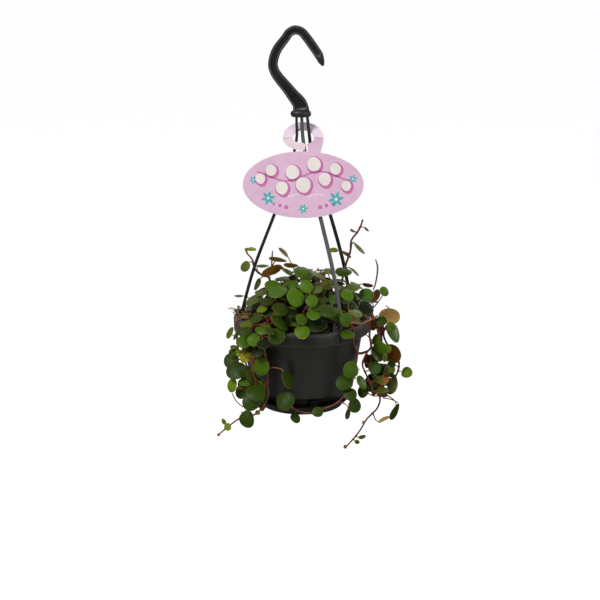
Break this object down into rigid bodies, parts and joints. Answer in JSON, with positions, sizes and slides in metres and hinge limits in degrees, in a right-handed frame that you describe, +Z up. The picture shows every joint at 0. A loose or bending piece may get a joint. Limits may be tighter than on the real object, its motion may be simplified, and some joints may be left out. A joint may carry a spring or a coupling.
{
  "type": "hanging potted plant",
  "caption": "Trailing round-leaved peperomia in a small round plastic hanging pot with a clip-on saucer, a hooked hanger with long arms and an oval card tag.",
  "frame": {"origin": "the seat of the hook: the middle of the underside of the hook's bend, where it rests on a rail", "axes": "+Z up along the hanging pot's axis, which stands 5.6 mm to +X of the seat; +X to the right of the picture, in the hook's plane, towards the hook's open side; -Y towards the picture's camera"},
  "size_m": [0.1772, 0.1663, 0.3847],
  "materials": {
    "pot_plastic": "satin charcoal-black moulded plastic",
    "saucer_plastic": "satin black moulded plastic",
    "hanger_plastic": "satin black moulded plastic with a faint blue-grey sheen",
    "tag_card": "printed coated card, pink, semi-gloss",
    "soil": "crumbly dark potting soil",
    "leaves_and_stems": "fleshy semi-gloss leaves on red-brown stems"
  },
  "bodies": {
    "root": {"pot": "pot_plastic", "saucer": "saucer_plastic", "soil": "soil", "hanger": "hanger_plastic", "tag": "tag_card", "stem_mound_1_1": "leaves_and_stems", "stem_mound_1_2": "leaves_and_stems", "stem_mound_1_3": "leaves_and_stems", "stem_mound_1_4": "leaves_and_stems", "stem_mound_2_1": "leaves_and_stems", "stem_mound_2_2": "leaves_and_stems", "stem_mound_2_3": "leaves_and_stems", "stem_mound_2_4": "leaves_and_stems", "stem_mound_2_5": "leaves_and_stems", "stem_mound_2_6": "leaves_and_stems", "stem_mound_2_7": "leaves_and_stems", "stem_mound_2_8": "leaves_and_stems", "stem_mound_3_1": "leaves_and_stems", "stem_mound_3_2": "leaves_and_stems", "stem_mound_3_3": "leaves_and_stems", "stem_mound_3_4": "leaves_and_stems", "stem_mound_3_5": "leaves_and_stems", "stem_mound_3_6": "leaves_and_stems", "stem_mound_3_7": "leaves_and_stems", "stem_mound_3_8": "leaves_and_stems", "stem_trail_left": "leaves_and_stems", "stem_trail_left_long": "leaves_and_stems", "stem_trail_left_side": "leaves_and_stems", "stem_trail_left_inner": "leaves_and_stems", "stem_trail_front_right": "leaves_and_stems", "stem_trail_right": "leaves_and_stems", "stem_trail_right_outer": "leaves_and_stems", "stem_trail_right_inner": "leaves_and_stems", "stem_arch_right": "leaves_and_stems", "stem_shoot_left": "leaves_and_stems", "stem_shoot_right": "leaves_and_stems", "stem_trail_back_1": "leaves_and_stems", "stem_trail_back_2": "leaves_and_stems", "stem_trail_back_3": "leaves_and_stems", "stem_trail_back_4": "leaves_and_stems", "stem_trail_back_5": "leaves_and_stems"}
  },
  "joints": []
}
